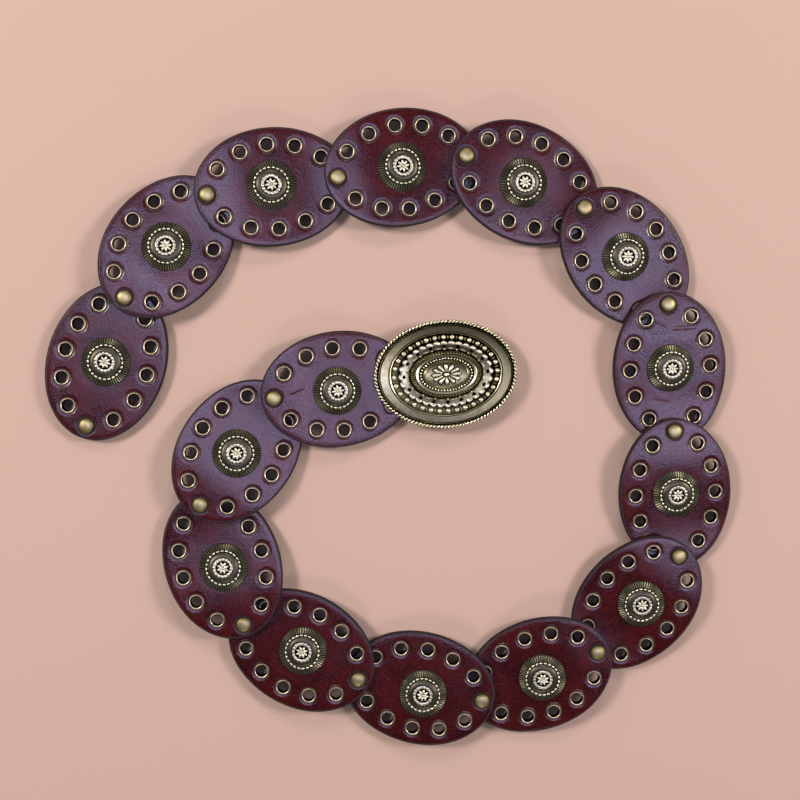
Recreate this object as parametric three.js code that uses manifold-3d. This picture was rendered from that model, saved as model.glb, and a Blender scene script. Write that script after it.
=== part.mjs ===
// Link hip belt: oval leather discs riveted end over end, with a round concho on each
// and a large oval buckle over the last one. The belt lies flat in an open spiral.
// Millimetres, +Z up, origin on the floor under the middle of the belt's plan.

import * as THREE from "three";
import { mergeVertices } from "three/addons/utils/BufferGeometryUtils.js";
import Module from "manifold-3d";

// Driving dimensions of the leather discs
const DISC_HALF_LENGTH = 43.2;
const DISC_HALF_WIDTH = 32.4;
const LEATHER = 4;
const PITCH = 72;
const BEND_AT = 20;
const OUTLINE_SIDES = 30;

// Gap kept between pieces that touch
const GAP = 0.3;

// A rivet's back stands under the leather, so the leather lies just above the floor
const RIVET_BACK = 0.9;
const LEATHER_BASE = RIVET_BACK + GAP;
const LEATHER_TOP = LEATHER_BASE + LEATHER;
const LIFT = LEATHER + GAP;

// Eyelets: one quarter of the ring, mirrored both ways, along and across the disc
const EYELET_RADIUS = 3.4;
const EYELET_SIDES = 8;
const EYELET_ROWS = [
  { along: 28.5, across: 13 },
  { along: 15, across: 20.6 },
  { along: 0, across: 23.1 },
];

// Rivets
const RIVET_RADIUS = 4.2;
const RIVET_CAP = 2.4;
const RIVET_BACK_RADIUS = 3.4;
const SHANK_RADIUS = 1.7;
const SHANK_HOLE_SIDES = 6;
const SHANK_HOLE_RADIUS = 2.4;
const RIVET_SIDES = 8;

// Conchos, each a low dome in three tiers
const CONCHO_RADIUS = 13.5;
const CONCHO_HEIGHT = 4.8;
const CONCHO_SIDES = 12;

// The chain: the way from each disc's far rivet to its near one, in degrees from +X.
// Disc 1 is the free end, cut a little longer, and the buckle sits over disc 15.
// The conchos are set by hand: some sit a little off their disc's middle, along and across it.
const FREE_DISC_STRETCH = 1.03;
const FIRST_RIVET = { x: -143.1, y: -49.6 };
const LINKS = [
  { disc: 1, heading: -108, conchoAlong: 0, conchoAcross: 0 },
  { disc: 2, heading: -129, conchoAlong: 0, conchoAcross: 0 },
  { disc: 3, heading: -172, conchoAlong: 0.8, conchoAcross: -0.7 },
  { disc: 4, heading: -170, conchoAlong: 0, conchoAcross: 0 },
  { disc: 5, heading: 157, conchoAlong: 0.9, conchoAcross: 0.7 },
  { disc: 6, heading: 132, conchoAlong: 0, conchoAcross: 0 },
  { disc: 7, heading: 94, conchoAlong: 0, conchoAcross: 0 },
  { disc: 8, heading: 93, conchoAlong: 0, conchoAcross: 0 },
  { disc: 9, heading: 50, conchoAlong: 1.3, conchoAcross: -1.5 },
  { disc: 10, heading: 22, conchoAlong: 1.1, conchoAcross: -1.7 },
  { disc: 11, heading: -11, conchoAlong: 2.1, conchoAcross: -2.2 },
  { disc: 12, heading: -27, conchoAlong: 0.6, conchoAcross: 0.6 },
  { disc: 13, heading: -71, conchoAlong: 1.9, conchoAcross: 0.2 },
  { disc: 14, heading: -125, conchoAlong: 1.1, conchoAcross: 0.4 },
  { disc: 15, heading: -172, conchoAlong: 0.7, conchoAcross: 0.8 },
];

// Buckle
const BUCKLE_HALF_LENGTH = 40.5;
const BUCKLE_HALF_WIDTH = 30.5;
const BUCKLE_HEADING = 4;
const BUCKLE_SIDES = 30;
const BUCKLE_BASE = LEATHER_TOP + 1.6;
const POST_ALONG = -24.6;
const POST_ACROSS = -1.6;
const BOSS_RADIUS = 4.5;
const HOOK_WIDTH = 5;
const HOOK_THICKNESS = 1.6;
const HOOK_TIP = 11;
const HOOK_BACK = 27;

// Outer face of the buckle from its rim to its middle: radius along the length, height over the rim
const BUCKLE_FACE = [
  { radius: 39.8, height: 0 },
  { radius: 40.5, height: 1.1 },
  { radius: 39.5, height: 2.2 },
  { radius: 38.1, height: 1.4 },
  { radius: 37.4, height: 2.0 },
  { radius: 31.9, height: 3.3 },
  { radius: 31.2, height: 3.9 },
  { radius: 30.4, height: 3.4 },
  { radius: 20.0, height: 4.2 },
  { radius: 16.8, height: 6.2 },
  { radius: 11.4, height: 6.3 },
  { radius: 8.6, height: 6.9 },
  { radius: 0, height: 7.4 },
];

// Hollow back of the buckle, from its middle out to the rim
const BUCKLE_BACK = [
  { radius: 0, height: 4.9 },
  { radius: 15.5, height: 4.2 },
  { radius: 19.5, height: 2.2 },
  { radius: 36.5, height: 0.5 },
  { radius: 38.4, height: 0 },
];

const wasm = await Module();
wasm.setup();

const colours = {
  leather: new THREE.MeshStandardMaterial({ color: 0x4a1218, roughness: 0.45, metalness: 0 }),
  rivet: new THREE.MeshStandardMaterial({ color: 0xb89a5a, roughness: 0.35, metalness: 1 }),
  concho: new THREE.MeshStandardMaterial({ color: 0x7d7660, roughness: 0.4, metalness: 1 }),
  buckle: new THREE.MeshStandardMaterial({ color: 0x8a7c4e, roughness: 0.4, metalness: 1 }),
};

const radians = THREE.MathUtils.degToRad;

// A closed geometry as a solid that can be joined and cut
function toSolid(geometry) {
  const bare = geometry.clone();
  bare.deleteAttribute("normal");
  bare.deleteAttribute("uv");
  const merged = mergeVertices(bare, 1e-4);
  return new wasm.Manifold(new wasm.Mesh({
    numProp: 3,
    vertProperties: new Float32Array(merged.attributes.position.array),
    triVerts: new Uint32Array(merged.index.array),
  }));
}

function toGeometry(solid) {
  const mesh = solid.getMesh();
  const geometry = new THREE.BufferGeometry();
  geometry.setAttribute("position", new THREE.BufferAttribute(mesh.vertProperties, 3));
  geometry.setIndex(new THREE.BufferAttribute(mesh.triVerts, 1));
  geometry.computeVertexNormals();
  return geometry;
}

function ovalPoints(alongCentre, acrossCentre, halfLength, halfWidth, sides) {
  const points = new THREE.EllipseCurve(alongCentre, acrossCentre, halfLength, halfWidth).getPoints(sides);
  points.pop();
  return points;
}

// Turned body about Z from rows of radius and height, listed from the bottom up
function turned(rows, sides) {
  const points = rows.map((row) => new THREE.Vector2(row.radius, row.height));
  const geometry = new THREE.LatheGeometry(points, sides);
  geometry.rotateX(Math.PI / 2);
  return geometry;
}

// A flat outline in length and height, drawn out across the width
function drawnAcross(points, width) {
  const shape = new THREE.Shape(points.map((point) => new THREE.Vector2(point[0], point[1])));
  const geometry = new THREE.ExtrudeGeometry(shape, { depth: width, bevelEnabled: false });
  geometry.rotateX(Math.PI / 2);
  geometry.translate(0, width / 2, 0);
  return geometry;
}

// Leather disc about its middle: the far end lies low and the near end steps up by lift,
// bent along two lines across it, and the slope between them carries the concho
function discGeometry(lift) {
  const outline = ovalPoints(0, 0, DISC_HALF_LENGTH, DISC_HALF_WIDTH, OUTLINE_SIDES);
  const shape = new THREE.Shape(outline);
  const cut = (along, across, radius, sides) => {
    shape.holes.push(new THREE.Path(ovalPoints(along, across, radius, radius, sides)));
  };
  cut(PITCH / 2, 0, SHANK_HOLE_RADIUS, SHANK_HOLE_SIDES);
  cut(-PITCH / 2, 0, SHANK_HOLE_RADIUS, SHANK_HOLE_SIDES);
  for (const row of EYELET_ROWS) {
    const alongs = row.along > 0 ? [row.along, -row.along] : [0];
    for (const along of alongs) {
      cut(along, row.across, EYELET_RADIUS, EYELET_SIDES);
      cut(along, -row.across, EYELET_RADIUS, EYELET_SIDES);
    }
  }
  if (lift === 0) {
    return new THREE.ExtrudeGeometry(shape, { depth: LEATHER, bevelEnabled: false });
  }
  const column = new THREE.ExtrudeGeometry(shape, { depth: LEATHER + lift + 2, bevelEnabled: false });
  column.translate(0, 0, -1);
  const reach = DISC_HALF_LENGTH + 2;
  const slab = drawnAcross([
    [-reach, 0],
    [-BEND_AT, 0],
    [BEND_AT, lift],
    [reach, lift],
    [reach, lift + LEATHER],
    [BEND_AT, lift + LEATHER],
    [-BEND_AT, LEATHER],
    [-reach, LEATHER],
  ], 2 * DISC_HALF_WIDTH + 4);
  return toGeometry(toSolid(column).intersect(toSolid(slab)));
}

// Rivet on its axis from the floor: back, shank through the leather, domed cap
function rivetGeometry(capSeat) {
  return turned([
    { radius: 0, height: 0 },
    { radius: RIVET_BACK_RADIUS, height: 0 },
    { radius: SHANK_RADIUS, height: RIVET_BACK },
    { radius: SHANK_RADIUS, height: capSeat },
    { radius: RIVET_RADIUS, height: capSeat },
    { radius: 0.78 * RIVET_RADIUS, height: capSeat + 0.7 * RIVET_CAP },
    { radius: 0, height: capSeat + RIVET_CAP },
  ], RIVET_SIDES);
}

// Concho on its seat: thin edge, fluted slope and two tiers of dome
function conchoGeometry() {
  return turned([
    { radius: 0, height: 0 },
    { radius: CONCHO_RADIUS, height: 0 },
    { radius: CONCHO_RADIUS, height: 0.15 * CONCHO_HEIGHT },
    { radius: 0.7 * CONCHO_RADIUS, height: 0.62 * CONCHO_HEIGHT },
    { radius: 0.36 * CONCHO_RADIUS, height: 0.9 * CONCHO_HEIGHT },
    { radius: 0, height: CONCHO_HEIGHT },
  ], CONCHO_SIDES);
}

// Height of the buckle's hollow back over its rim, at a distance from the middle
function backHeight(distance) {
  const outer = BUCKLE_BACK.findIndex((row) => row.radius >= distance);
  const high = BUCKLE_BACK[outer - 1];
  const low = BUCKLE_BACK[outer];
  const share = (distance - high.radius) / (low.radius - high.radius);
  return THREE.MathUtils.lerp(high.height, low.height, share);
}

// Buckle about the middle of its rim, with the boss for its post and the hook behind it
function buckleGeometry() {
  const profile = [...BUCKLE_BACK, ...BUCKLE_FACE];
  const plate = turned(profile, BUCKLE_SIDES);
  plate.scale(1, BUCKLE_HALF_WIDTH / BUCKLE_HALF_LENGTH, 1);

  const bossFoot = LEATHER_TOP + GAP - BUCKLE_BASE;
  const bossTop = backHeight(-POST_ALONG) + 0.8;
  const boss = new THREE.CylinderGeometry(BOSS_RADIUS, BOSS_RADIUS, bossTop - bossFoot, RIVET_SIDES);
  boss.rotateX(Math.PI / 2);
  boss.translate(POST_ALONG, POST_ACROSS, (bossTop + bossFoot) / 2);

  const boreTop = bossTop - 1;
  const bore = new THREE.CylinderGeometry(SHANK_RADIUS + GAP, SHANK_RADIUS + GAP, 4, RIVET_SIDES);
  bore.rotateX(Math.PI / 2);
  bore.translate(POST_ALONG, POST_ACROSS, boreTop - 2);

  const floor = -BUCKLE_BASE;
  const inner = HOOK_BACK - HOOK_THICKNESS;
  const root = backHeight(HOOK_BACK) + 0.8;
  const hook = drawnAcross([
    [HOOK_TIP, floor + 0.5],
    [HOOK_TIP + 1, floor],
    [HOOK_BACK - 1.2, floor],
    [HOOK_BACK, floor + 1.2],
    [HOOK_BACK, root],
    [inner, root],
    [inner, floor + HOOK_THICKNESS],
    [HOOK_TIP + 1, floor + HOOK_THICKNESS],
    [HOOK_TIP, floor + HOOK_THICKNESS - 0.5],
  ], HOOK_WIDTH);

  const joined = toSolid(plate).add(toSolid(boss)).add(toSolid(hook));
  return toGeometry(joined.subtract(toSolid(bore)));
}

// Plain post of the buckle: back under the disc, shank up into the boss
function postGeometry() {
  const top = BUCKLE_BASE + backHeight(-POST_ALONG) - 0.2 - GAP;
  return turned([
    { radius: 0, height: 0 },
    { radius: RIVET_BACK_RADIUS, height: 0 },
    { radius: SHANK_RADIUS, height: RIVET_BACK },
    { radius: SHANK_RADIUS, height: top },
    { radius: 0, height: top },
  ], RIVET_SIDES);
}

const belt = new THREE.Group();

function place(geometry, material, name, x, y, z, turn) {
  const mesh = new THREE.Mesh(geometry, material);
  mesh.name = name;
  mesh.position.set(x, y, z);
  mesh.rotation.z = turn;
  return mesh;
}

function addLinks() {
  const flat = discGeometry(0).scale(FREE_DISC_STRETCH, 1, 1);
  const bent = discGeometry(LIFT);
  const concho = conchoGeometry();
  const endRivet = rivetGeometry(LEATHER_TOP + GAP);
  const linkRivet = rivetGeometry(LEATHER_TOP + LIFT + GAP);
  const slope = Math.atan(LIFT / (2 * BEND_AT));
  const rivet = new THREE.Vector2(FIRST_RIVET.x, FIRST_RIVET.y);

  for (const link of LINKS) {
    const number = String(link.disc).padStart(2, "0");
    const turn = radians(link.heading);
    const free = link.disc === 1;
    const reach = free ? FREE_DISC_STRETCH * PITCH / 2 : PITCH / 2;
    const step = new THREE.Vector2(Math.cos(turn), Math.sin(turn)).multiplyScalar(reach);
    belt.add(place(free ? endRivet : linkRivet, colours.rivet, `rivet_${number}`, rivet.x, rivet.y, 0, 0));

    rivet.sub(step);
    const disc = place(free ? flat : bent, colours.leather, `disc_${number}`,
      rivet.x, rivet.y, LEATHER_BASE, turn);
    belt.add(disc);

    // The concho stands square on the slope near the middle of its disc
    const tilt = free ? 0 : slope;
    const seat = new THREE.Group();
    seat.position.set(rivet.x, rivet.y, LEATHER_TOP + (free ? 0 : LIFT / 2));
    seat.rotation.z = turn;
    const medal = place(concho, colours.concho, `concho_${number}`, 0, 0, 0, 0);
    medal.rotation.y = -tilt;
    medal.position.set(
      link.conchoAlong * Math.cos(tilt) - GAP * Math.sin(tilt),
      link.conchoAcross,
      link.conchoAlong * Math.sin(tilt) + GAP * Math.cos(tilt),
    );
    seat.add(medal);
    belt.add(seat);
    rivet.sub(step);
  }
  return rivet;
}

function addBuckle(lastRivet) {
  const turn = radians(BUCKLE_HEADING);
  const post = new THREE.Vector2(POST_ALONG, POST_ACROSS).rotateAround(new THREE.Vector2(), turn);
  const middle = lastRivet.clone().sub(post);
  belt.add(place(postGeometry(), colours.rivet, "buckle_post", lastRivet.x, lastRivet.y, 0, 0));
  belt.add(place(buckleGeometry(), colours.buckle, "buckle_plate", middle.x, middle.y, BUCKLE_BASE, turn));
}

addBuckle(addLinks());

// The origin goes under the middle of the plan
belt.updateMatrixWorld(true);
const plan = new THREE.Box3().setFromObject(belt, true).getCenter(new THREE.Vector3());
belt.position.set(-plan.x, -plan.y, 0);
belt.updateMatrixWorld(true);

export default belt;
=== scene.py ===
import math

import bmesh
import bpy
from mathutils import Matrix, Vector, noise


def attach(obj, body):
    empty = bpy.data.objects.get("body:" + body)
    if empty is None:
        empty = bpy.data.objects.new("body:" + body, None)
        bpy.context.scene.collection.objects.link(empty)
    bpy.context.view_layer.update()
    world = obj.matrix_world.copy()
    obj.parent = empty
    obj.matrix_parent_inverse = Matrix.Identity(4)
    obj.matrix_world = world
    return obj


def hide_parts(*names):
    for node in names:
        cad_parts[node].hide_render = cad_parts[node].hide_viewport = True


# Link hip belt: oxblood leather ovals, brass eyelets and rivets, conchos and a western buckle.
# Sizes in the dictionaries are in millimetres, the scene is in metres.

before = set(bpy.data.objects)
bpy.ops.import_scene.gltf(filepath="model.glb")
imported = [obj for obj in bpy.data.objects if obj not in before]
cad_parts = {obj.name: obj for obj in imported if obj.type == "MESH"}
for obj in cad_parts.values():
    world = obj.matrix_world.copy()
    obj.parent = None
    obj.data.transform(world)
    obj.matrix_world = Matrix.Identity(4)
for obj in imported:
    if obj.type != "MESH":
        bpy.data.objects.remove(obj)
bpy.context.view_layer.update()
mm = 0.001
print("frame loaded:", len(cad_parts), "nodes")

chain = {
    "pitch": 72,
    "freeStretch": 1.03,  # the free end's oval is cut a little longer
    "firstRivet": (-171.053, 4.495),
    "headings": [-108, -129, -172, -170, 157, 132, 94, 93, 50, 22, -11, -27, -71, -125, -172],
    "leatherBase": 1.2,  # the rivet backs hold the leather this far off the floor
    "lift": 4.3,         # each oval climbs this much on to the one before
    "bendAt": 20,
    "bendSoftness": 6,
}


# small hand tools

def clearSelection():
    if bpy.context.object is not None and bpy.context.object.mode != "OBJECT":
        bpy.ops.object.mode_set(mode="OBJECT")
    bpy.ops.object.select_all(action="DESELECT")


def makeActive(piece):
    clearSelection()
    piece.select_set(True)
    bpy.context.view_layer.objects.active = piece


def pickVerts(piece, test):
    bpy.ops.mesh.select_all(action="DESELECT")
    cage = bmesh.from_edit_mesh(piece.data)
    for vert in cage.verts:
        vert.select = test(vert.co)
    cage.select_flush(True)
    bmesh.update_edit_mesh(piece.data)


def growRow(scaleX, scaleY, rise):
    bpy.ops.mesh.extrude_region_move(TRANSFORM_OT_translate={"value": (0, 0, rise)})
    bpy.ops.transform.resize(value=(scaleX, scaleY, 1), center_override=(0, 0, 0))


# a ring is drawn and extruded row by row: (along, across, height); a last row of no size closes on a pole
def turnPiece(name, sides, rows, closeBottom=True, closeLoop=False):
    clearSelection()
    bpy.ops.mesh.primitive_circle_add(vertices=sides, radius=1)
    piece = bpy.context.object
    piece.name = name
    bpy.ops.object.mode_set(mode="EDIT")
    bpy.ops.mesh.select_all(action="SELECT")
    along, across, height = rows[0]
    bpy.ops.transform.resize(value=(along * mm, across * mm, 1), center_override=(0, 0, 0))
    bpy.ops.transform.translate(value=(0, 0, height * mm))
    for row in rows[1:]:
        if row[0] == 0:
            growRow(0.5, 0.5, (row[2] - height) * mm)
            bpy.ops.mesh.merge(type="CENTER")
            break
        growRow(row[0] / along, row[1] / across, (row[2] - height) * mm)
        along, across, height = row
    if closeLoop:
        growRow(rows[0][0] / along, rows[0][1] / across, (rows[0][2] - height) * mm)
    bpy.ops.mesh.select_all(action="SELECT")
    bpy.ops.mesh.remove_doubles(threshold=0.00001)
    if closeBottom:
        bpy.ops.mesh.select_all(action="DESELECT")
        bpy.ops.mesh.select_non_manifold()
        bpy.ops.mesh.edge_face_add()
    bpy.ops.mesh.select_all(action="SELECT")
    bpy.ops.mesh.normals_make_consistent(inside=False)
    bpy.ops.object.mode_set(mode="OBJECT")
    return piece


# how dark the patina and the painted shade lie, 0 bright and 1 black, kept on the mesh for the metal to read
def paintPatinaAndShade(piece, shade):
    layer = piece.data.attributes.get("patinaAndShade") or piece.data.attributes.new("patinaAndShade", "FLOAT", "POINT")
    for vert in piece.data.vertices:
        layer.data[vert.index].value = shade(vert.co / mm)


def roundOver(piece, degrees):
    makeActive(piece)
    bpy.ops.object.shade_smooth_by_angle(angle=math.radians(degrees))


def copyPiece(piece, name, place):
    twin = bpy.data.objects.new(name, piece.data.copy())
    bpy.context.scene.collection.objects.link(twin)
    twin.data.transform(place)
    return twin


def joinAll(body, parts):
    clearSelection()
    for part in parts:
        part.select_set(True)
    body.select_set(True)
    bpy.context.view_layer.objects.active = body
    bpy.ops.object.join()
    return body


def drop(piece):
    bpy.data.objects.remove(piece, do_unlink=True)


# evenly spaced places round an oval, each with the way that the rim runs there
def ovalPlaces(count, along, across, phase=0.0):
    fine = 720
    turns = [math.tau * step / fine for step in range(fine + 1)]
    points = [(along * math.cos(turn), across * math.sin(turn)) for turn in turns]
    reach = [0.0]
    for before, after in zip(points, points[1:]):
        reach.append(reach[-1] + math.dist(before, after))
    places = []
    at = 0
    for number in range(count):
        goal = reach[-1] * (number + phase) / count
        while reach[at + 1] < goal:
            at += 1
        share = (goal - reach[at]) / (reach[at + 1] - reach[at])
        before, after = points[at], points[at + 1]
        x = before[0] + share * (after[0] - before[0])
        y = before[1] + share * (after[1] - before[1])
        places.append((x, y, math.atan2(after[1] - before[1], after[0] - before[0])))
    return places


# a low bead, its length along the rim it will sit on
def shapeBead(length, width, height, segments=8, rings=6):
    clearSelection()
    bpy.ops.mesh.primitive_uv_sphere_add(segments=segments, ring_count=rings, radius=1)
    bead = bpy.context.object
    bpy.ops.object.mode_set(mode="EDIT")
    bpy.ops.mesh.select_all(action="SELECT")
    bpy.ops.mesh.bisect(plane_co=(0, 0, -0.35), plane_no=(0, 0, 1), use_fill=True, clear_inner=True)
    bpy.ops.mesh.select_all(action="SELECT")
    bpy.ops.transform.resize(value=(length / 2 * mm, width / 2 * mm, height * mm), center_override=(0, 0, 0))
    bpy.ops.object.mode_set(mode="OBJECT")
    bpy.ops.object.shade_smooth()
    return bead


def setBeads(bead, count, along, across, height, phase=0.0, skew=0.0, tilt=0.0):
    beads = []
    for x, y, run in ovalPlaces(count, along, across, phase):
        place = Matrix.Translation((x * mm, y * mm, height * mm)) @ Matrix.Rotation(run + skew, 4, "Z")
        beads.append(copyPiece(bead, "bead", place @ Matrix.Rotation(tilt, 4, "X")))
    return beads


# materials

def linearColour(hexText, alpha=1.0):
    channels = [int(hexText[i:i + 2], 16) / 255 for i in (0, 2, 4)]
    return (*[c / 12.92 if c <= 0.04045 else ((c + 0.055) / 1.055) ** 2.4 for c in channels], alpha)


def addNode(material, kind, links=None, **settings):
    node = material.node_tree.nodes.new(kind)
    for key, value in settings.items():
        if key in node.inputs:
            node.inputs[key].default_value = value
        else:
            setattr(node, key, value)
    for key, source in (links or {}).items():
        material.node_tree.links.new(source, node.inputs[key])
    return node


def newFinish(name):
    material = bpy.data.materials.new(name)
    material.use_nodes = True
    material.node_tree.nodes.clear()
    return material


def setRamp(ramp, stops):
    elements = ramp.color_ramp.elements
    while len(elements) > 1:
        elements.remove(elements[-1])
    elements[0].position = stops[0][0]
    elements[0].color = linearColour(stops[0][1])
    for position, colour in stops[1:]:
        elements.new(position).color = linearColour(colour)


leatherLook = {
    "dark": "2c0405",
    "body": "430a08",
    "edge": "240b08",
    "edgeDark": "0c0303",
    "edgeScale": 900.0,        # spots for each metre on the cut edge
    "edgeRoughness": 0.95,
    "roughness": (0.11, 0.34),
    "roughnessFrom": (0.3, 0.7),  # the grain noise keeps near its middle
    "mottle": 14,
    "grain": 0.8,              # real pores are about half of this, drawn coarser so that they show
    "grainDepth": 0.09,
    "grainStrength": 0.6,
    "gloss": (0.84, 0.9, 1.0),
    "coat": 0.03,
    "coatRoughness": 0.2,
}


# finished cowhide: dark red body under a thin waxed coat, a soft violet gloss broken by fine grain
def oxbloodLeather():
    look = leatherLook
    finish = newFinish("oxbloodCowhide")
    coords = addNode(finish, "ShaderNodeTexCoord").outputs["Object"]
    atPlace = {"Vector": coords}
    grainScale = 1000 / look["grain"]
    mottle = addNode(finish, "ShaderNodeTexNoise", atPlace, Scale=1000 / look["mottle"], Detail=3.0)
    grain = addNode(finish, "ShaderNodeTexVoronoi", atPlace, Scale=grainScale, Randomness=1.0)
    fine = addNode(finish, "ShaderNodeTexNoise", atPlace, Scale=grainScale, Detail=3.0, Roughness=0.6)
    body = addNode(finish, "ShaderNodeValToRGB", {"Fac": mottle.outputs["Fac"]})
    setRamp(body, [(0.3, look["dark"]), (0.7, look["body"])])
    # the edge attribute mixes in the darker edge colour: the cut sides, the rim, and painted shade round the
    # metal
    edgeAndShadeShare = addNode(finish, "ShaderNodeAttribute", attribute_name="edge").outputs["Fac"]
    edgeNoise = addNode(finish, "ShaderNodeTexNoise", atPlace, Scale=look["edgeScale"], Detail=2.0)
    edge = addNode(finish, "ShaderNodeValToRGB", {"Fac": edgeNoise.outputs["Fac"]})
    setRamp(edge, [(0.35, look["edgeDark"]), (0.65, look["edge"])])
    colour = addNode(finish, "ShaderNodeMix", data_type="RGBA")
    tree = finish.node_tree
    tree.links.new(edgeAndShadeShare, colour.inputs[0])
    tree.links.new(body.outputs["Color"], colour.inputs[6])
    tree.links.new(edge.outputs["Color"], colour.inputs[7])
    grainRough = addNode(finish, "ShaderNodeMapRange", {"Value": fine.outputs["Fac"]})
    grainRough.inputs["From Min"].default_value = look["roughnessFrom"][0]
    grainRough.inputs["From Max"].default_value = look["roughnessFrom"][1]
    grainRough.inputs["To Min"].default_value = look["roughness"][0]
    grainRough.inputs["To Max"].default_value = look["roughness"][1]
    edgeRough = addNode(finish, "ShaderNodeMath", {0: edgeAndShadeShare}, operation="MULTIPLY")
    edgeRough.inputs[1].default_value = look["edgeRoughness"]
    shares = {0: grainRough.outputs["Result"], 1: edgeRough.outputs[0]}
    rough = addNode(finish, "ShaderNodeMath", shares, operation="MAXIMUM")
    pores = {0: grain.outputs["Distance"], 1: fine.outputs["Fac"]}
    both = addNode(finish, "ShaderNodeMath", pores, operation="ADD")
    bump = addNode(finish, "ShaderNodeBump", {"Height": both.outputs[0]}, Strength=look["grainStrength"])
    bump.inputs["Distance"].default_value = look["grainDepth"] * mm
    shader = addNode(finish, "ShaderNodeBsdfPrincipled", {
        "Base Color": colour.outputs[2], "Roughness": rough.outputs[0], "Normal": bump.outputs["Normal"],
    }, IOR=1.5)
    shader.inputs["Specular Tint"].default_value = (*look["gloss"], 1.0)
    shader.inputs["Coat Weight"].default_value = look["coat"]
    shader.inputs["Coat Roughness"].default_value = look["coatRoughness"]
    addNode(finish, "ShaderNodeOutputMaterial", {"Surface": shader.outputs["BSDF"]})
    return finish


# sizes in millimetres, then each metal: colours by depth of patina and painted shade, and roughness where it
# is bright and dark
metalLook = {"blotch": 2.5, "grit": 0.9, "gritDepth": 0.03}
metals = {
    # pale thin rings round bores painted dark as shade
    "spunBrassEyelet": {
        "stops": [(0.0, "c6b896"), (0.45, "695942"), (1.0, "080605")],
        "roughness": (0.36, 0.5), "scratch": 0.08, "speckle": 0.06,
    },
    # dull yellow caps with a painted highlight in the middle
    "stampedBrassCap": {
        "stops": [(0.0, "aca178"), (0.5, "7c7048"), (1.0, "1a1408")],
        "roughness": (0.38, 0.6), "scratch": 0.35, "speckle": 0.12,
    },
    # greyer and paler on the beads, nearly black between them
    "antiqueSilverBrass": {
        "stops": [(0.0, "d6d1ba"), (0.35, "63604f"), (1.0, "070605")],
        "roughness": (0.32, 0.44), "scratch": 0.35, "speckle": 0.12,
    },
    # the brightest metal, worn olive gold over black
    "antiqueCastBrass": {
        "stops": [(0.0, "dcd6b4"), (0.4, "7a7452"), (1.0, "040302")],
        "roughness": (0.27, 0.4), "scratch": 0.3, "speckle": 0.16,
    },
}


# cast or stamped brass, darkened and rubbed back: raised parts shine, hollows stay nearly black; painted
# shade and highlight come in through the same attribute
def antiqueMetal(name):
    look = metals[name]
    finish = newFinish(name)
    coords = addNode(finish, "ShaderNodeTexCoord").outputs["Object"]
    patinaAndShade = addNode(finish, "ShaderNodeAttribute", attribute_name="patinaAndShade").outputs["Fac"]
    atPlace = {"Vector": coords}
    blotchScale, gritScale = 1000 / metalLook["blotch"], 1000 / metalLook["grit"]
    blotch = addNode(finish, "ShaderNodeTexNoise", atPlace, Scale=blotchScale, Detail=4.0, Roughness=0.65)
    shift = addNode(finish, "ShaderNodeMapRange", {"Value": blotch.outputs["Fac"]})
    shift.inputs["To Min"].default_value = -look["speckle"]
    shift.inputs["To Max"].default_value = look["speckle"]
    shares = {0: patinaAndShade, 1: shift.outputs["Result"]}
    depth = addNode(finish, "ShaderNodeMath", shares, operation="ADD", use_clamp=True)
    colour = addNode(finish, "ShaderNodeValToRGB", {"Fac": depth.outputs[0]})
    setRamp(colour, look["stops"])
    rough = addNode(finish, "ShaderNodeMapRange", {"Value": depth.outputs[0]})
    rough.inputs["To Min"].default_value = look["roughness"][0]
    rough.inputs["To Max"].default_value = look["roughness"][1]
    grit = addNode(finish, "ShaderNodeTexNoise", atPlace, Scale=gritScale, Detail=3.0)
    bump = addNode(finish, "ShaderNodeBump", {"Height": grit.outputs["Fac"]}, Strength=look["scratch"])
    bump.inputs["Distance"].default_value = metalLook["gritDepth"] * mm
    shader = addNode(finish, "ShaderNodeBsdfPrincipled", {
        "Base Color": colour.outputs["Color"],
        "Roughness": rough.outputs["Result"],
        "Normal": bump.outputs["Normal"],
    }, Metallic=1.0)
    addNode(finish, "ShaderNodeOutputMaterial", {"Surface": shader.outputs["BSDF"]})
    return finish


leatherFinish = oxbloodLeather()
eyeletFinish = antiqueMetal("spunBrassEyelet")
rivetFinish = antiqueMetal("stampedBrassCap")
conchoFinish = antiqueMetal("antiqueSilverBrass")
buckleFinish = antiqueMetal("antiqueCastBrass")
print("finishes ready")


# the leather oval, flat, with its far rivet at -x and its near rivet at +x

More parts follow.
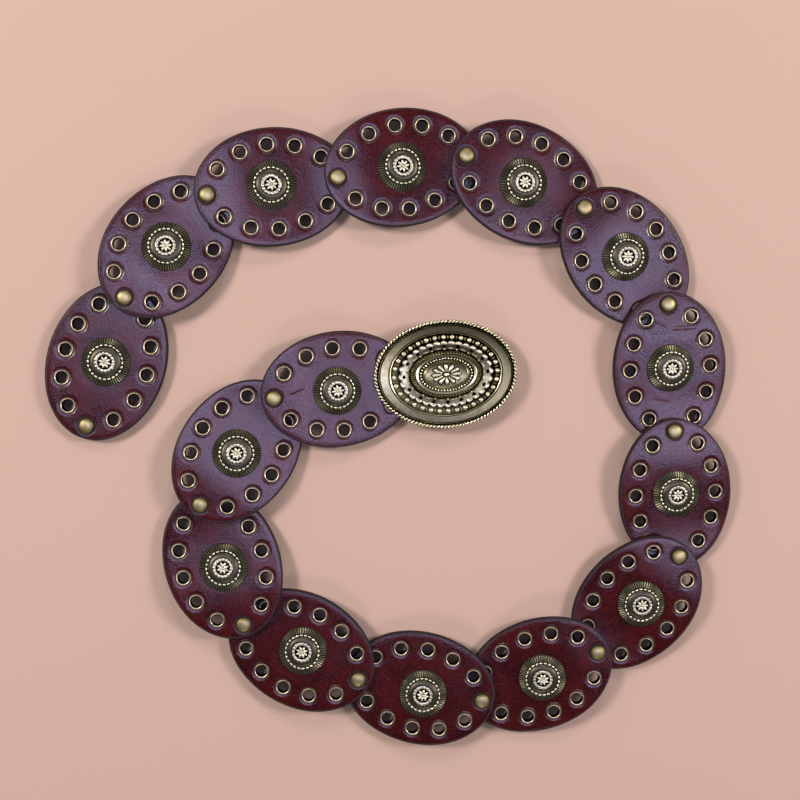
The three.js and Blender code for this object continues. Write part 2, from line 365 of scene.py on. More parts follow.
oval = {
    "halfLength": 43.2,
    "halfWidth": 32.4,
    "sides": 280,
    "top": 4.0,
    "topRings": [1.2, 1.7, 2.2] + [2.8 + 0.6 * step for step in range(40)],
    "topShares": (0.66, 0.33),  # of the last of these rings, further in
    "topDepth": 0.05,       # what lies less than this under the top is the top
    "underRings": [25.0, 20.0, 15.0, 10.0, 6.0, 3.0],
    # the edge from below: how far in it lies, and its height; two layers with a seam between them
    "edge": [(0.9, 0.0), (0.35, 0.12), (0.1, 0.5), (0.05, 1.1), (0.12, 1.75), (0.45, 2.0),
             (0.45, 2.15), (0.05, 2.45), (0.0, 2.9), (0.1, 3.3), (0.35, 3.6), (0.8, 3.85)],
    "eyelets": [(28.5, 13), (15, 20.6), (0, 23.1), (-15, 20.6), (-28.5, 13)],
    "rivetAlong": 36,
    "holeRadius": 3.6,
    "shankHole": 2.2,
    "dimple": 0.35,         # how deep the eyelets are drawn into the leather
    "rivetDimple": 0.4,
    "dimpleFloor": 4.5,
    "dimpleReach": 5.7,
    "conchoDent": (0.06, 13, 4.5),     # depth, radius, and how far out it fades
    "shoulder": 0.28,       # the top falls away towards the edge
    "shoulderReach": 3.4,
    "sag": 0.1,
    "sagAbove": 2.9,
    "sagLength": 17,
    "sagStep": 7.3,         # so that no two ovals wave alike
    # where the leather is painted with shade round the metal: how dark, how far out, and how soon it fades
    "shadeByRivet": (0.85, 4.7, 1.5),
    "shadeByEyelet": (0.55, 4.7, 0.9),
    # and where the darker edge colour lies: how far in, or below which height, and how soon it fades
    "rimDark": (1.6, 1.1),
    "sideDark": (3.2, 0.5),
    "sideReach": 1.2,
    "backHeight": 0.2,      # lower than this is the back
}

eyeletSpots = oval["eyelets"] + [(along, -across) for along, across in oval["eyelets"]]


def edgeDistance(x, y):
    a, b = oval["halfLength"], oval["halfWidth"]
    size = math.hypot(x / a, y / b)
    slope = math.hypot(x / a ** 2, y / b ** 2) / max(size, 1e-6)
    return (1 - size) / max(slope, 1e-6)


def easeStep(value):
    value = min(max(value, 0.0), 1.0)
    return value * value * (3 - 2 * value)


# the top dips round each eyelet, the rivet and the concho, and falls away at the edge
def topHeight(x, y):
    sunk = 0.0
    spots = [(spot, oval["dimple"]) for spot in eyeletSpots]
    spots.append(((oval["rivetAlong"], 0), oval["rivetDimple"]))
    for (sx, sy), depth in spots:
        away = math.hypot(x - sx, y - sy)
        share = 1 - easeStep((away - oval["dimpleFloor"]) / (oval["dimpleReach"] - oval["dimpleFloor"]))
        sunk = max(sunk, depth * share)
    dent, radius, fade = oval["conchoDent"]
    sunk = max(sunk, dent * (1 - easeStep((math.hypot(x, y) - radius) / fade)))
    fall = max(0.0, 1 - edgeDistance(x, y) / oval["shoulderReach"])
    return -sunk - oval["shoulder"] * fall * fall


# painted shade on the leather close round the rivet, and a little round each eyelet
def paintedShadeRoundMetal(x, y):
    dark, radius, fade = oval["shadeByRivet"]
    byRivet = dark * (1 - easeStep((math.hypot(x - oval["rivetAlong"], y) - radius) / fade))
    dark, radius, fade = oval["shadeByEyelet"]
    nearest = min(math.hypot(x - sx, y - sy) for sx, sy in eyeletSpots)
    byEyelet = dark * (1 - easeStep((nearest - radius) / fade))
    return max(byRivet, byEyelet)


def makeOval():
    a, b, top = oval["halfLength"], oval["halfWidth"], oval["top"]
    rows = [(a - inward, b - inward, 0) for inward in oval["underRings"]]
    rows += [(a - inward, b - inward, height) for inward, height in oval["edge"]]
    rows += [(a - inward, b - inward, top) for inward in oval["topRings"]]
    along, across, _ = rows[-1]
    rows += [(along * share, across * share, top) for share in oval["topShares"]]
    rows.append((0, 0, top))
    piece = turnPiece("leatherOval", oval["sides"], rows)
    for vert in piece.data.vertices:
        if vert.co.z > (top - oval["topDepth"]) * mm:
            vert.co.z += topHeight(vert.co.x / mm, vert.co.y / mm) * mm
    punches = []
    for x, y in eyeletSpots + [(oval["rivetAlong"], 0), (-oval["rivetAlong"], 0)]:
        radius = oval["shankHole"] if y == 0 and abs(x) == oval["rivetAlong"] else oval["holeRadius"]
        clearSelection()
        bpy.ops.mesh.primitive_cylinder_add(
            vertices=24, radius=radius * mm, depth=3 * top * mm, location=(x * mm, y * mm, top / 2 * mm))
        punches.append(bpy.context.object)
    punch = joinAll(punches[0], punches[1:])
    makeActive(piece)
    cut = piece.modifiers.new("punch", "BOOLEAN")
    cut.object = punch
    cut.operation = "DIFFERENCE"
    cut.solver = "EXACT"
    bpy.ops.object.modifier_apply(modifier=cut.name)
    drop(punch)
    # how far the darker edge colour lies, for the leather to read: the sides and back, the rim, and painted
    # shade round the metal
    layer = piece.data.attributes.new("edge", "FLOAT", "POINT")
    for vert in piece.data.vertices:
        x, y, height = (value / mm for value in vert.co)
        inside = edgeDistance(x, y)
        below, fade = oval["sideDark"]
        outside = inside < oval["sideReach"] or height < oval["backHeight"]
        side = easeStep((below - height) / fade) if outside else 0.0
        within, fade = oval["rimDark"]
        rim = easeStep((within - inside) / fade)
        layer.data[vert.index].value = max(side, rim, paintedShadeRoundMetal(x, y))
    roundOver(piece, 50)
    return piece


# the leather bends softly along two lines across the oval, up on to the one before
def climb(along):
    soft = chain["bendSoftness"]
    share = 0.0
    steps = 5
    for step in range(-steps, steps + 1):
        at = (along + soft * step / steps + chain["bendAt"]) / (2 * chain["bendAt"])
        share += min(max(at, 0.0), 1.0)
    return chain["lift"] * share / (2 * steps + 1)


# soft creases where an oval has been folded: two ends in millimetres, depth and half width
creaseFade = 4
creases = {
    7: [((29, 9), (22.5, 0), 0.2, 0.9), ((22.5, 1), (22, -17), 0.22, 0.9), ((21, 14), (20.5, -2), 0.12, 0.8),
        ((-17, 12), (-21, -2), 0.1, 0.9)],
    15: [((29, 1), (17, -3), 0.25, 1.0)],
}


def creaseDepth(x, y, lines):
    depth = 0.0
    for (ax, ay), (bx, by), deep, wide in lines:
        dx, dy = bx - ax, by - ay
        length = math.hypot(dx, dy)
        along = ((x - ax) * dx + (y - ay) * dy) / length
        off = abs((x - ax) * dy - (y - ay) * dx) / length
        ends = 0.0
        if 0 < along < length:
            ends = easeStep(along / creaseFade) * easeStep((length - along) / creaseFade)
        depth += deep * ends * math.exp(-(off / wide) ** 2)
    return depth


def bendAndPlace(piece, number, link, isLeather):
    for vert in piece.data.vertices:
        x, y, z = vert.co.x / mm, vert.co.y / mm, vert.co.z / mm
        if isLeather and z > oval["sagAbove"]:
            spot = (x / oval["sagLength"], y / oval["sagLength"], number * oval["sagStep"])
            wave = noise.noise(Vector(spot))
            z += oval["sag"] * wave - creaseDepth(x, y, creases.get(number, []))
        if number > 1:
            z += climb(x)
        vert.co.z = z * mm
    place = Matrix.Translation((link["middle"][0] * mm, link["middle"][1] * mm, chain["leatherBase"] * mm))
    place = place @ Matrix.Rotation(link["turn"], 4, "Z")
    piece.data.transform(place @ Matrix.Diagonal((link["stretch"], 1, 1, 1)))
    piece.data.update()


def finishPiece(piece, material, slot, *nodes):
    piece.data.materials.clear()
    piece.data.materials.append(material)
    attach(piece, "root")
    if nodes:
        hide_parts(*nodes)


links = []
x, y = chain["firstRivet"]
for heading in chain["headings"]:
    turn = math.radians(heading)
    stretch = 1.0 if links else chain["freeStretch"]
    half = stretch * chain["pitch"] / 2
    stepX, stepY = half * math.cos(turn), half * math.sin(turn)
    links.append({"near": (x, y), "middle": (x - stepX, y - stepY), "turn": turn, "stretch": stretch})
    x, y = x - 2 * stepX, y - 2 * stepY

flatOval = makeOval()
for number, link in enumerate(links, 1):
    leather = copyPiece(flatOval, f"leather_{number:02d}", Matrix.Identity(4))
    bendAndPlace(leather, number, link, True)
    finishPiece(leather, leatherFinish, "leather", f"disc_{number:02d}")
drop(flatOval)
print("leather ovals laid")


# eyelets: a tube through the leather, its lip rolled over into the dimple

eyelet = {
    "sides": 24,
    # radius and height from the back of the leather, up the bore, over the lip and back under
    "rows": [(3.3, -0.1), (3.3, 3.6), (3.46, 3.98), (3.8, 4.16), (4.15, 4.08),
             (4.4, 3.8), (4.5, 3.3), (3.56, 3.24), (3.56, -0.1)],
    # the bore is painted black as shade; the slope outside the crest is darker, patina and painted shade of
    # the dark outline
    "patinaAndShade": {"bore": 0.98, "crest": 0.05, "slope": 0.6},
    "bore": (3.5, 3.7),     # within this radius and below this height
    "crest": (3.4, 4, 3.9),     # between these radii and above this height
}


def makeEyelets():
    rows = [(radius, radius, height) for radius, height in eyelet["rows"]]
    one = turnPiece("eyelet", eyelet["sides"], rows, closeBottom=False, closeLoop=True)

    def shade(co):
        radius = math.hypot(co.x, co.y)
        boreRadius, boreTop = eyelet["bore"]
        # painted shade inside the bore, and on the slope outside the crest
        if radius < boreRadius and co.z < boreTop:
            return eyelet["patinaAndShade"]["bore"]
        inner, outer, above = eyelet["crest"]
        return eyelet["patinaAndShade"]["crest" if inner < radius < outer and co.z > above else "slope"]

    paintPatinaAndShade(one, shade)
    roundOver(one, 70)
    ring = [copyPiece(one, "eyelet", Matrix.Translation((x * mm, y * mm, 0))) for x, y in eyeletSpots]
    drop(one)
    return joinAll(ring[0], ring[1:])


eyeletRing = makeEyelets()
for number, link in enumerate(links, 1):
    ring = copyPiece(eyeletRing, f"eyelets_{number:02d}", Matrix.Identity(4))
    bendAndPlace(ring, number, link, False)
    finishPiece(ring, eyeletFinish, "rivet_brass")
drop(eyeletRing)
print("eyelets set")


# rivets: flat back, shank, low domed cap

rivet = {
    "sides": 28,
    "capRadius": 4.2,
    "seatFree": 4.75,  # where the cap meets the leather, over the floor
    "seatLink": 9.1,
    # the cap: share of its radius, and height over the seat; then the back: radius and height
    "cap": [(0.95, 0.0), (1.0, 0.3), (1.0, 0.9), (0.96, 1.3), (0.86, 1.62),
            (0.7, 1.85), (0.5, 2.02), (0.3, 2.12), (0.12, 2.16)],
    "capTop": 2.17,
    "back": [(3.0, 0.0), (3.4, 0.25), (3.3, 0.6), (2.6, 0.9), (1.7, 0.9)],
    "shank": 1.7,
    "stepTurn": 0.7,    # radians from one to the next, so that no two caps stand alike
    # patina up to this height over the seat
    "sideHeight": 0.5,
    "sidePatina": 0.9,
    # painted highlight in the middle of the cap, painted shade outside it: how dark there, how much darker
    # outside, from which radius, how soon
    "capHighlightAndShade": (0.08, 0.62, 1.7, 2.2),
}


def makeRivet(seat):
    cap = rivet["capRadius"]
    rows = [(radius, radius, height) for radius, height in rivet["back"]]
    rows.append((rivet["shank"], rivet["shank"], seat))
    rows += [(cap * share, cap * share, seat + height) for share, height in rivet["cap"]]
    rows.append((0, 0, seat + rivet["capTop"]))
    piece = turnPiece("rivet", rivet["sides"], rows)

    def shade(co):
        if co.z <= seat + rivet["sideHeight"]:
            return rivet["sidePatina"]
        # painted highlight in the middle of the cap, painted shade towards its edge
        dark, more, radius, fade = rivet["capHighlightAndShade"]
        return dark + more * easeStep((math.hypot(co.x, co.y) - radius) / fade)

    paintPatinaAndShade(piece, shade)
    roundOver(piece, 45)
    return piece


freeRivet = makeRivet(rivet["seatFree"])
linkRivet = makeRivet(rivet["seatLink"])
for number, link in enumerate(links, 1):
    near = link["near"]
    place = Matrix.Translation((near[0] * mm, near[1] * mm, 0))
    place = place @ Matrix.Rotation(rivet["stepTurn"] * number, 4, "Z")
    cap = copyPiece(freeRivet if number == 1 else linkRivet, f"rivet_cap_{number:02d}", place)
    finishPiece(cap, rivetFinish, "rivet_brass", f"rivet_{number:02d}")
drop(freeRivet)
drop(linkRivet)
print("rivets set")


# conchos: fluted slope, a ring of long beads, smooth step, a lobed ring and an eight-petalled flower

concho = {
    "sides": 112,
    "rows": [(12.6, 0.0), (13.5, 0.0), (13.5, 0.5), (13.2, 0.9), (12.2, 1.3), (11.2, 1.68), (10.3, 2.0),
             (10.0, 1.9), (9.8, 2.15), (8.95, 2.5), (8.75, 2.4), (8.55, 2.75), (8.1, 3.25), (7.4, 3.6),
             (6.5, 3.8), (5.9, 3.78), (5.7, 3.45), (5.35, 3.95), (4.8, 4.15), (4.1, 4.0), (3.85, 3.55),
             (1.5, 3.6), (0, 3.6)],
    # beads: length, width and height; how many; on which radius; seat; patina on top and low down;
    # and the height where one turns into the other
    "beads": [((2.15, 1.25, 0.6), 24, 9.35, 2.5, (0.0, 0.75), 0.2),
              ((1.8, 2.0, 0.3), 16, 4.8, 4.05, (0.12, 0.7), 0.1),
              ((1.45, 2.9, 0.55), 8, 2.05, 3.8, (0.0, 0.4), 0.0),
              ((1.6, 1.6, 0.95), 1, 0.01, 3.8, (0.05, 0.05), 0.0)],
    # patina outwards from the middle: up to this radius, this dark; the smooth step out to 8.65 is darkened
    # as painted shade
    "patinaAndShade": [(4, 0.98), (5.6, 0.1), (5.85, 0.98), (8.65, 0.65), (10.2, 0.9)],
    "ribPatina": (0.28, 1.0),
    "rimPatina": 0.6,
    "flute": 0.26,
    "flutesFrom": 10.2,
    "flutesTo": 13.3,
    "flutesAbove": 0.7,
    "slope": math.degrees(math.atan(chain["lift"] / (2 * chain["bendAt"]))),
    "sink": 0.02,
    # how far some sit off their oval's middle, along and across it
    "offMiddle": {3: (0.8, -0.7), 5: (0.9, 0.7), 9: (1.3, -1.5), 10: (1.1, -1.7), 11: (2.1, -2.2),
                  12: (0.6, 0.6), 13: (1.9, 0.2), 14: (1.1, 0.4), 15: (0.7, 0.8)},
}


def makeConcho():
    rows = [(radius, radius, height) for radius, height in concho["rows"]]
    body = turnPiece("concho", concho["sides"], rows)
    bpy.ops.object.mode_set(mode="EDIT")

    def ribOf(co):
        return round(math.atan2(co.y, co.x) / math.tau * concho["sides"]) % 2

    def onRib(co, parity):
        radius = math.hypot(co.x, co.y) / mm
        onSlope = concho["flutesFrom"] < radius < concho["flutesTo"] and co.z > concho["flutesAbove"] * mm
        return onSlope and ribOf(co) == parity

    pickVerts(body, lambda co: onRib(co, 0))
    bpy.ops.transform.translate(value=(0, 0, concho["flute"] * mm))
    pickVerts(body, lambda co: onRib(co, 1))
    bpy.ops.transform.translate(value=(0, 0, -concho["flute"] * mm))
    bpy.ops.object.mode_set(mode="OBJECT")

    def shade(co):
        radius = math.hypot(co.x, co.y)
        if radius > concho["flutesTo"]:
            return concho["rimPatina"]
        # patina in the hollows, painted shade on the smooth step
        for outer, dark in concho["patinaAndShade"]:
            if radius <= outer:
                return dark
        return concho["ribPatina"][ribOf(co)]

    paintPatinaAndShade(body, shade)
    roundOver(body, 30)
    parts = []
    for size, count, radius, seat, (top, low), lowUnder in concho["beads"]:
        bead = shapeBead(*size)
        paintPatinaAndShade(bead, lambda co: top if co.z > lowUnder else low)
        parts += setBeads(bead, count, radius, radius, seat)
        drop(bead)
    return joinAll(body, parts)


medal = makeConcho()
for number, link in enumerate(links, 1):
    free = number == 1
    along, across = concho["offMiddle"].get(number, (0, 0))
    seat = chain["leatherBase"] + oval["top"] + (0 if free else chain["lift"] / 2) - concho["sink"]
    place = Matrix.Translation((link["middle"][0] * mm, link["middle"][1] * mm, seat * mm))
    place = place @ Matrix.Rotation(link["turn"], 4, "Z")
    if not free:
        place = place @ Matrix.Rotation(-math.radians(concho["slope"]), 4, "Y")
    place = place @ Matrix.Translation((along * mm, across * mm, 0))
    piece = copyPiece(medal, f"medallion_{number:02d}", place)
    finishPiece(piece, conchoFinish, "concho_metal", f"concho_{number:02d}")
drop(medal)
print("conchos set")


# buckle: domed oval plate with a rope edge, rings of beads and lobes, and a rosette, hook and boss behind

buckle = {
    "place": (28.342, 32.825, 6.8),
    "heading": 4,
    "sides": 144,
    # half length, half width and height over the rim: the back from its middle out, then the face inwards
    "back": [(3.0, 2.3, 4.8), (15.0, 9.3, 4.0), (18.0, 11.6, 0.9), (28, 20.6, 0.55), (36.5, 27.3, 0.4),
             (38.4, 28.8, 0.0)],
    "face": [(39.4, 29.5, 0.0), (40.1, 30.1, 0.5), (40.1, 30.1, 1.3), (39.4, 29.5, 1.6), (38.7, 28.8, 1.2),
             (38.2, 28.35, 0.9), (37.8, 28.0, 1.1), (37.6, 27.8, 2.0), (37.35, 27.6, 2.25), (37.1, 27.3, 2.0),
             (36.9, 27.1, 1.8), (36.6, 26.9, 2.75), (35.5, 25.9, 2.5), (34.0, 24.8, 2.23), (32.6, 23.9, 2.03),
             (31.9, 23.55, 1.95), (31.7, 23.4, 2.3), (31.3, 23.15, 2.5), (30.9, 22.9, 2.3), (30.7, 22.7, 1.9),
             (30.4, 22.2, 1.8), (27.6, 19.3, 1.8), (26.6, 18.4, 1.85), (24.9, 16.9, 1.9), (24.7, 16.7, 3.0),
             (22.8, 15.2, 2.6), (21.0, 13.9, 2.25), (20.6, 13.6, 1.8), (20.2, 13.3, 2.0), (19.7, 12.9, 3.4),
             (18.7, 12.1, 4.9), (18.1, 11.65, 5.35), (17.8, 11.4, 5.5), (17.5, 11.1, 5.3), (17.2, 10.9, 5.9),
             (16.9, 10.7, 6.05), (15.7, 9.8, 5.75), (15.4, 9.6, 5.3), (13.1, 8.1, 5.3), (12.9, 7.95, 5.85),
             (12.6, 7.7, 6.05), (12.4, 7.5, 5.8), (12.2, 7.35, 6.0), (11.9, 7.15, 6.1), (11.6, 6.95, 5.85),
             (11.3, 6.7, 5.7), (4, 2.4, 5.85), (0, 0, 5.9)],
    # patina on the face by half length, even between two of these
    "patinaAndShade": [(40.1, 0.9), (39.4, 1.0), (37.8, 1.0), (37.6, 0.3), (37.35, 0.0), (37.1, 0.8),
               (36.9, 1.0), (36.6, 0.3), (32.6, 0.3), (31.9, 0.98), (31.3, 0.0), (30.9, 0.3),
               (30.7, 0.98), (30.4, 0.85), (27.6, 0.85), (26.6, 1.0), (24.9, 1.0), (24.7, 0.25),
               (22.8, 0.25), (21.0, 0.5), (20.6, 0.95), (20.2, 1.0), (19.2, 0.5), (18.2, 0.4),
               (17.8, 0.3), (17.5, 0.98), (16.9, 0.0), (15.7, 0.1), (15.4, 0.95), (13.1, 0.95),
               (12.6, 0.05), (12.4, 0.9), (11.9, 0.05), (11.6, 0.95), (11.3, 0.35), (0.0, 0.35)],
    # painted shade, darker towards the top and the right as the light falls: how much of each,
    # outside which half length, and how far out to the right it is full
    "topRightShade": (0.26, 0.22, 5, 40),
    "backPatina": 0.6,
    "backHeight": 0.3,  # lower than this is the back
    "backZones": [(37, 27.6, 1.7), (15.8, 12, 5)],  # and so is what lies in this oval, below this height
    # the steep wall round the middle is fluted: its oval, the share of it that counts, and its half lengths
    "flute": 0.4,
    "fluteOval": (19.2, 12.5),
    "fluteShare": (0.93, 1.06),
    "fluteAbove": 2.4,
    "fluteSizes": (17.9, 20.1),
    "flutePatina": (0.05, 1.0),
    "dish": -12,  # the wide band falls towards the middle
    # its scalloped rim: flat round tongues that overlap its edge
    "tongueRows": [(2.2, 2.2, -1.0), (2.2, 2.2, 0.0), (2.05, 2.05, 0.22), (1.6, 1.6, 0.36), (0, 0, 0.42)],
    "tongues": (32, 24.6, 16.65, 2.52),
    "tongueSides": 14,
    "tonguePatina": [(0.3, 0.2), (0.1, 0.45)],  # above this height, this dark
    "tongueLow": 0.95,
    # beads: length, width and height; how many round which oval; seat; patina on top and low down
    "rings": [
        # the rope edge
        {"size": (3.0, 1.5, 1.15), "oval": (104, 39.4, 29.45), "seat": 1.3, "patinaAndShade": (0.0, 0.95),
         "skew": 42},
        # round beads with a bar between each two
        {"size": (2.9, 2.9, 0.9), "oval": (32, 29.05, 20.65), "seat": 2.0, "patinaAndShade": (0.1, 0.95)},
        {"size": (0.9, 2.4, 0.35), "oval": (32, 29.05, 20.65), "seat": 1.85, "patinaAndShade": (0.45, 0.9),
         "phase": 0.5},
        # black diamonds, and the swags and dots inside them
        {"size": (2.9, 2.5, 0.22), "oval": (16, 23.5, 15.7), "seat": 2.84, "patinaAndShade": (1.0, 1.0),
         "dished": True, "segments": 4},
        {"size": (3.6, 1.4, 0.3), "oval": (16, 21.7, 14.35), "seat": 2.4, "patinaAndShade": (0.3, 0.9),
         "dished": True, "phase": 0.5},
        {"size": (1.3, 1.3, 0.5), "oval": (16, 21.3, 14.0), "seat": 2.3, "patinaAndShade": (0.2, 0.95)},
        # small beads round the rosette
        {"size": (1.15, 1.5, 0.6), "oval": (44, 14.25, 8.85), "seat": 5.35, "patinaAndShade": (0.0, 0.9)},
    ],
    "beadLow": 0.3,  # share of a bead's height that is low
    # the rosette: a black leaf under each petal, and a heart in two parts
    "petals": (12, 5.3, 3.7),
    "petalWidth": (0.74, 0.26),  # of an end petal, and more at the sides
    "petalLength": (0.66, 0.38),  # of a side petal, and more at the ends
    "leafTaper": (0.62, 0.38),  # width at the middle, and how much it grows to the tip
    "leafLow": 0.2,
    "leaves": [((4.9, 7.1, 0.3), 5.92, (1.0, 1.0)), ((3.3, 6.1, 0.5), 6.08, (0.1, 1.0))],
    "hearts": [((5.2, 3.5, 0.9), 5.9, 1.0), ((3.9, 2.3, 0.9), 6.2, 0.0)],
    "post": (-24.6, -1.6),
    "bossRadius": 4.5,
    "bossDepth": 2.6,
    "bossWall": 2.5,
    "bossHollow": 1.9,
    "bossPatina": 0.5,
    "hookPatina": 0.45,
    "hook": {"middle": (19, 0, -6.0), "size": (16, 5, 1.6), "bendAt": (27, 0, -5.2), "rise": 6.6,
             "round": 0.35},
}


def makeBuckle():
    plate = turnPiece("plate", buckle["sides"], buckle["back"] + buckle["face"])
    fluteAlong, fluteAcross = buckle["fluteOval"]

    def fluteOf(co):
        return round(math.atan2(co.y / fluteAcross, co.x / fluteAlong) / math.tau * buckle["sides"]) % 2

    def onFlute(co, parity):
        share = math.hypot(co.x / fluteAlong, co.y / fluteAcross) / mm
        low, high = buckle["fluteShare"]
        return low < share < high and co.z > buckle["fluteAbove"] * mm and fluteOf(co) == parity

    bpy.ops.object.mode_set(mode="EDIT")
    for parity, rise in ((0, buckle["flute"]), (1, -buckle["flute"])):
        pickVerts(plate, lambda co: onFlute(co, parity))
        bpy.ops.transform.translate(value=(0, 0, rise * mm))
    bpy.ops.object.mode_set(mode="OBJECT")

    # the half length of the face row that a point lies nearest to
    def sizeOf(co):
        if math.hypot(co.x, co.y) <= 1:
            return 0.0

        def offRow(row):
            along, across, height = row
            return abs(math.hypot(co.x / along, co.y / across) - 1) * along + 0.5 * abs(co.z - height)

        return min(buckle["face"][:-1], key=offRow)[0]

    def shade(co):
        zones = buckle["backZones"]
        inZone = any(math.hypot(co.x / a, co.y / b) < 1 and co.z < below for a, b, below in zones)
        if co.z < buckle["backHeight"] or inZone:
            return buckle["backPatina"]
        size = sizeOf(co)
        low, high = buckle["fluteSizes"]
        if low < size < high:
            return buckle["flutePatina"][fluteOf(co)]
        # painted shade, darker towards the top and the right
        topRightShade = 0.0
        top, right, outside, reach = buckle["topRightShade"]
        if size > outside:
            topRightShade = top * max(0.0, co.y / math.hypot(co.x, co.y)) + right * max(0.0, co.x / reach)
        for (outer, first), (inner, second) in zip(buckle["patinaAndShade"], buckle["patinaAndShade"][1:]):
            if inner <= size <= outer:
                share = (outer - size) / (outer - inner)
                return first + share * (second - first) + topRightShade
        return 0.5

    paintPatinaAndShade(plate, shade)
    roundOver(plate, 35)
    parts = []
    masters = []

    dish = math.radians(buckle["dish"])
    tongue = turnPiece("tongue", buckle["tongueSides"], buckle["tongueRows"])
    paintPatinaAndShade(tongue, lambda co: next((dark for above, dark in buckle["tonguePatina"] if co.z > above),
                                  buckle["tongueLow"]))
    roundOver(tongue, 40)
    masters.append(tongue)
    parts += setBeads(tongue, *buckle["tongues"], tilt=dish)
    for ring in buckle["rings"]:
        bead = shapeBead(*ring["size"], ring.get("segments", 8))
        lowUnder = buckle["beadLow"] * ring["size"][2]
        top, low = ring["patinaAndShade"]
        paintPatinaAndShade(bead, lambda co: top if co.z > lowUnder else low)
        masters.append(bead)
        parts += setBeads(bead, *ring["oval"], ring["seat"], ring.get("phase", 0.0),
                          math.radians(ring.get("skew", 0)), dish if ring.get("dished") else 0.0)

    leaves = []
    width, taper = buckle["leafTaper"]
    for size, seat, (top, low) in buckle["leaves"]:
        leaf = shapeBead(*size)
        for vert in leaf.data.vertices:
            vert.co.x *= width - taper * vert.co.y / (size[1] / 2 * mm)  # narrow at the heart
        paintPatinaAndShade(leaf, lambda co: top if co.z > buckle["leafLow"] else low)
        leaves.append((leaf, seat))
        masters.append(leaf)
    count, along, across = buckle["petals"]
    for number in range(count):
        angle = math.tau * number / count
        x, y = along * math.cos(angle), across * math.sin(angle)
        run = math.atan2(y, x) + math.pi / 2
        wide = buckle["petalWidth"][0] + buckle["petalWidth"][1] * abs(math.sin(angle))
        long = buckle["petalLength"][0] + buckle["petalLength"][1] * abs(math.cos(angle))
        for leaf, seat in leaves:
            place = Matrix.Translation((x * mm, y * mm, seat * mm)) @ Matrix.Rotation(run, 4, "Z")
            parts.append(copyPiece(leaf, "petal", place @ Matrix.Diagonal((wide, long, 1.0, 1.0))))
    for size, seat, dark in buckle["hearts"]:
        heart = shapeBead(*size)
        paintPatinaAndShade(heart, lambda co: dark)
        masters.append(heart)
        parts.append(copyPiece(heart, "heart", Matrix.Translation((0, 0, seat * mm))))

    # behind: the boss for the post and the flat hook
    bossPlace = (buckle["post"][0] * mm, buckle["post"][1] * mm, 0)
    bossDepth = buckle["bossDepth"] * mm
    clearSelection()
    bpy.ops.mesh.primitive_cylinder_add(
        vertices=32, radius=buckle["bossRadius"] * mm, depth=bossDepth, location=bossPlace)
    boss = bpy.context.object
    bpy.ops.object.mode_set(mode="EDIT")
    cage = bmesh.from_edit_mesh(boss.data)
    for face in cage.faces:
        face.select = face.normal.z < -0.9
    bmesh.update_edit_mesh(boss.data)
    bpy.ops.mesh.inset(thickness=buckle["bossWall"] * mm)
    bpy.ops.transform.translate(value=(0, 0, buckle["bossHollow"] * mm))
    bpy.ops.object.mode_set(mode="OBJECT")
    bpy.ops.object.transform_apply(location=True, rotation=True, scale=True)
    paintPatinaAndShade(boss, lambda co: buckle["bossPatina"])
    parts.append(boss)
    middle = [value * mm for value in buckle["hook"]["middle"]]
    bendAt = [value * mm for value in buckle["hook"]["bendAt"]]
    clearSelection()
    bpy.ops.mesh.primitive_cube_add(size=1, location=middle)
    hook = bpy.context.object
    bpy.ops.object.mode_set(mode="EDIT")
    bpy.ops.mesh.select_all(action="SELECT")
    bpy.ops.transform.resize(value=[side * mm for side in buckle["hook"]["size"]], center_override=middle)
    cage = bmesh.from_edit_mesh(hook.data)
    for face in cage.faces:
        face.select = face.normal.x > 0.9
    bmesh.update_edit_mesh(hook.data)
    bpy.ops.mesh.spin(steps=6, angle=math.radians(90), center=bendAt, axis=(0, -1, 0))
    bpy.ops.mesh.extrude_region_move(TRANSFORM_OT_translate={"value": (0, 0, buckle["hook"]["rise"] * mm)})
    bpy.ops.mesh.select_all(action="SELECT")
    bpy.ops.mesh.normals_make_consistent(inside=False)
    bpy.ops.object.mode_set(mode="OBJECT")
    bpy.ops.object.transform_apply(location=True, rotation=True, scale=True)
    hook.modifiers.new("ease", "BEVEL").width = buckle["hook"]["round"] * mm
    hook.modifiers["ease"].segments = 2
    bpy.ops.object.modifier_apply(modifier="ease")
    paintPatinaAndShade(hook, lambda co: buckle["hookPatina"])
    parts.append(hook)
    for master in masters:
        drop(master)
    return joinAll(plate, parts)


plate = makeBuckle()
plate.name = "western_buckle"
bx, by, bz = buckle["place"]
place = Matrix.Translation((bx * mm, by * mm, bz * mm))
plate.data.transform(place @ Matrix.Rotation(math.radians(buckle["heading"]), 4, "Z"))
finishPiece(plate, buckleFinish, "buckle_metal", "buckle_plate")

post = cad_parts["buckle_post"]
post.data.materials.clear()
post.data.materials.append(rivetFinish)
print("buckle set")


# studio: pale floor, three cool softboxes overhead that the gloss mirrors, and lower warm lights all round

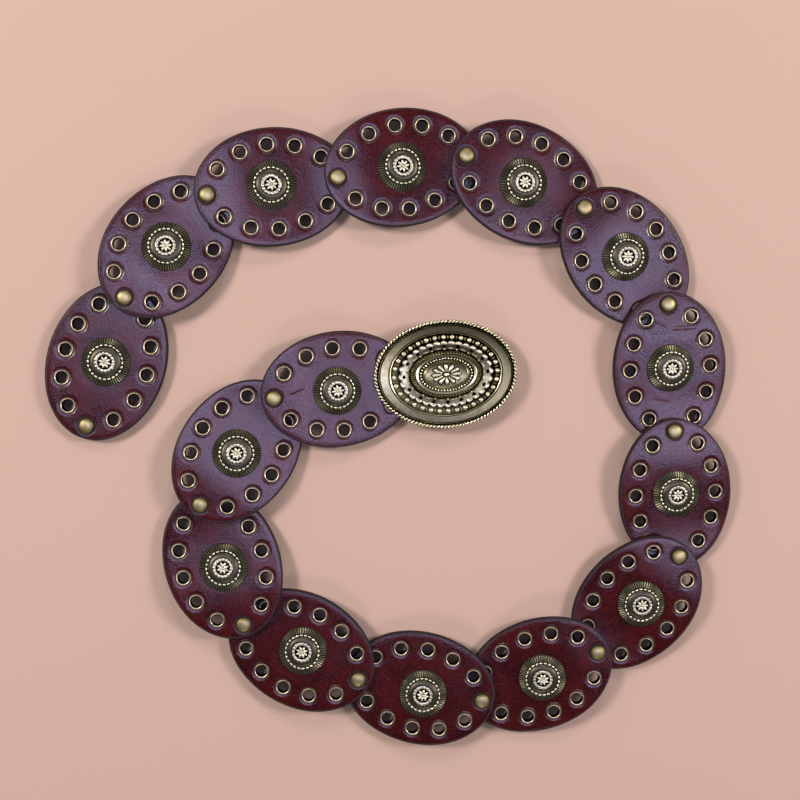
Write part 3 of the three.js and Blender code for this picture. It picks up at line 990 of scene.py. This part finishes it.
studio = {
    "floor": "c4a79d",
    "softboxColour": "dad5ff",
    "softboxes": {
        "leftSoftbox": {"energy": 5.6, "size": (0.5, 0.46), "place": (-0.3, 0.27, 1.5)},
        "middleSoftbox": {"energy": 3.9, "size": (0.45, 0.36), "place": (0.1, -0.08, 1.5)},
        "rightSoftbox": {"energy": 6.6, "size": (0.48, 0.56), "place": (0.74, -0.1, 1.5)},
    },
    "lampColour": "fff6ee",
    "lamps": {
        "leftLamp": {"energy": 24, "size": (0.4, 0.4), "place": (-1.25, 0.55, 1.15)},
        "rightLamp": {"energy": 18, "size": (0.4, 0.4), "place": (1.35, 0.3, 0.95)},
        "backLamp": {"energy": 7, "size": (0.5, 0.3), "place": (0.1, 1.4, 1.0)},
        "frontLamp": {"energy": 5, "size": (0.5, 0.3), "place": (0, -1.45, 0.9)},
    },
    "sky": "f6f1ee",
    "skyLow": 0.62,   # the room is bright low down and dark overhead
    "skyHigh": 0.01,
    "skyFade": (0.25, 0.7),
    "floorRoughness": 0.85,
}

clearSelection()
bpy.ops.mesh.primitive_plane_add(size=6, location=(0, 0, 0))
floor = bpy.context.object
floor.name = "floor"
floorFinish = newFinish("paleBoard")
floorShader = addNode(floorFinish, "ShaderNodeBsdfPrincipled", Roughness=studio["floorRoughness"])
floorShader.inputs["Base Color"].default_value = linearColour(studio["floor"])
addNode(floorFinish, "ShaderNodeOutputMaterial", {"Surface": floorShader.outputs["BSDF"]})
floor.data.materials.append(floorFinish)


def hangLight(name, colour, energy, size, place):
    clearSelection()
    bpy.ops.object.light_add(type="AREA", location=place)
    lamp = bpy.context.object
    lamp.name = name
    lamp.data.shape = "RECTANGLE"
    lamp.data.size, lamp.data.size_y = size
    lamp.data.energy = energy
    lamp.data.color = linearColour(colour)[:3]
    lamp.rotation_euler = (Vector((0, 0, 0)) - Vector(place)).to_track_quat("-Z", "Y").to_euler()
    return lamp


for name, lamp in studio["lamps"].items():
    hangLight(name, studio["lampColour"], **lamp)
for name, box in studio["softboxes"].items():
    lamp = hangLight(name, studio["softboxColour"], **box)
    lamp.rotation_euler = (0, 0, 0)
    lamp.visible_diffuse = False  # only what the gloss mirrors

room = bpy.data.worlds.new("room")
room.use_nodes = True
room.node_tree.nodes.clear()
aim = addNode(room, "ShaderNodeTexCoord").outputs["Generated"]
upward = addNode(room, "ShaderNodeSeparateXYZ", {"Vector": aim}).outputs["Z"]
glow = addNode(room, "ShaderNodeMapRange", {"Value": upward}, interpolation_type="SMOOTHSTEP")
glow.inputs["From Min"].default_value = studio["skyFade"][0]
glow.inputs["From Max"].default_value = studio["skyFade"][1]
glow.inputs["To Min"].default_value = studio["skyLow"]
glow.inputs["To Max"].default_value = studio["skyHigh"]
sky = addNode(room, "ShaderNodeBackground", {"Strength": glow.outputs["Result"]})
sky.inputs["Color"].default_value = linearColour(studio["sky"])
addNode(room, "ShaderNodeOutputWorld", {"Surface": sky.outputs["Background"]})
bpy.context.scene.world = room

camera = {"place": (-0.02797, 0.05405, 0.5655), "turn": (-3.653, -3.151, 0.0), "lens": 45, "sensor": 36}
turn = [math.radians(angle) for angle in camera["turn"]]
clearSelection()
bpy.ops.object.camera_add(location=camera["place"], rotation=turn)
eye = bpy.context.object
eye.data.lens = camera["lens"]
eye.data.sensor_width = camera["sensor"]
bpy.context.scene.camera = eye
bpy.context.scene.view_settings.view_transform = "Standard"
print("studio ready")

bpy.context.view_layer.update()
